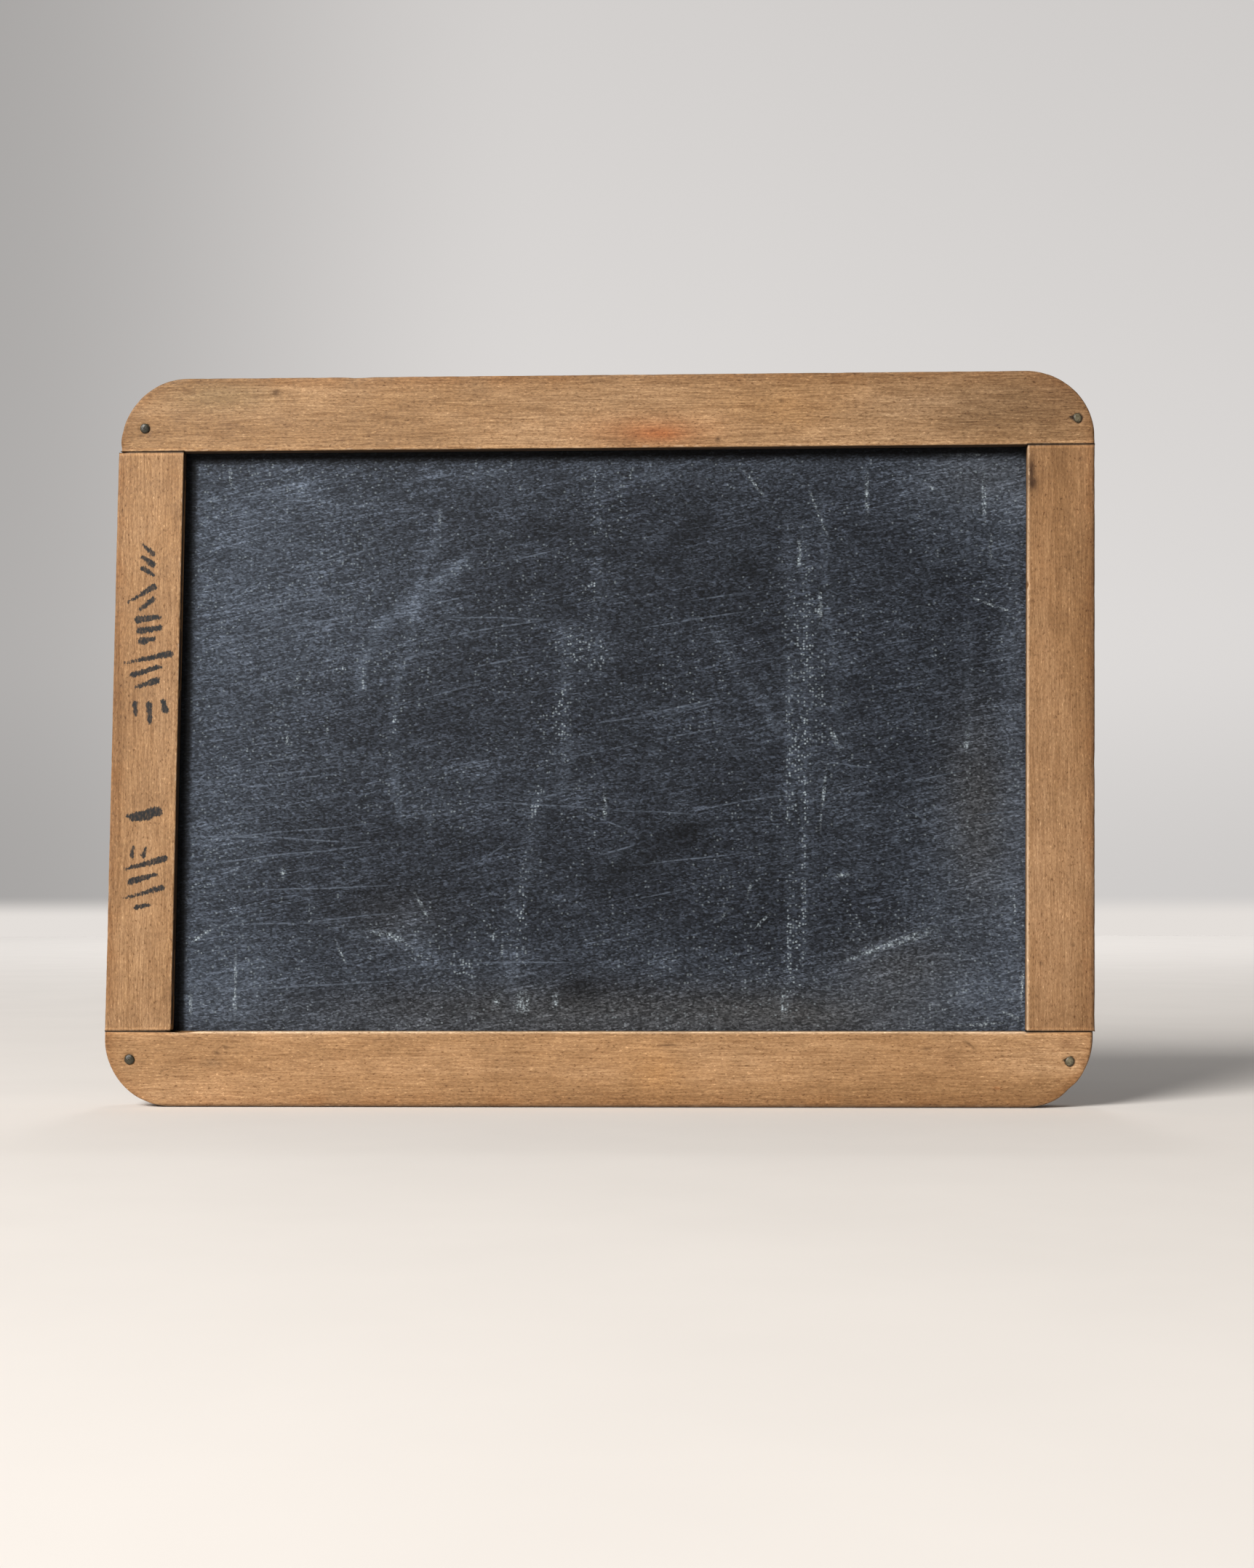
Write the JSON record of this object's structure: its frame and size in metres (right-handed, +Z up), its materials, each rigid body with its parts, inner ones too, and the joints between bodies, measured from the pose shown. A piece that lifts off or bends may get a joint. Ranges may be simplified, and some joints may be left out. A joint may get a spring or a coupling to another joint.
{
  "type": "framed writing slate",
  "caption": "Rectangular dark writing slate held in a grooved wooden frame with rounded corners and nailed corner joints.",
  "frame": {"origin": "middle of the bottom edge that the slate stands on, on the mid-plane of the wooden frame", "axes": "+X along the length of the slate, towards its right-hand end seen from the front; -Y out of the front writing face; +Z up"},
  "size_m": [0.2444, 0.0105, 0.181],
  "materials": {
    "slate": "smooth dark blue-grey slate, finely scratched, with traces of chalk",
    "frame_wood": "aged honey-brown fine-grained hardwood, hand-worn, with no varnish",
    "nail_iron": "old iron, tarnished dark olive brown"
  },
  "bodies": {
    "root": {"slate_panel": "slate", "top_rail": "frame_wood", "bottom_rail": "frame_wood", "left_stile": "frame_wood", "right_stile": "frame_wood", "nail_top_left": "nail_iron", "nail_top_right": "nail_iron", "nail_bottom_left": "nail_iron", "nail_bottom_right": "nail_iron"}
  },
  "joints": []
}
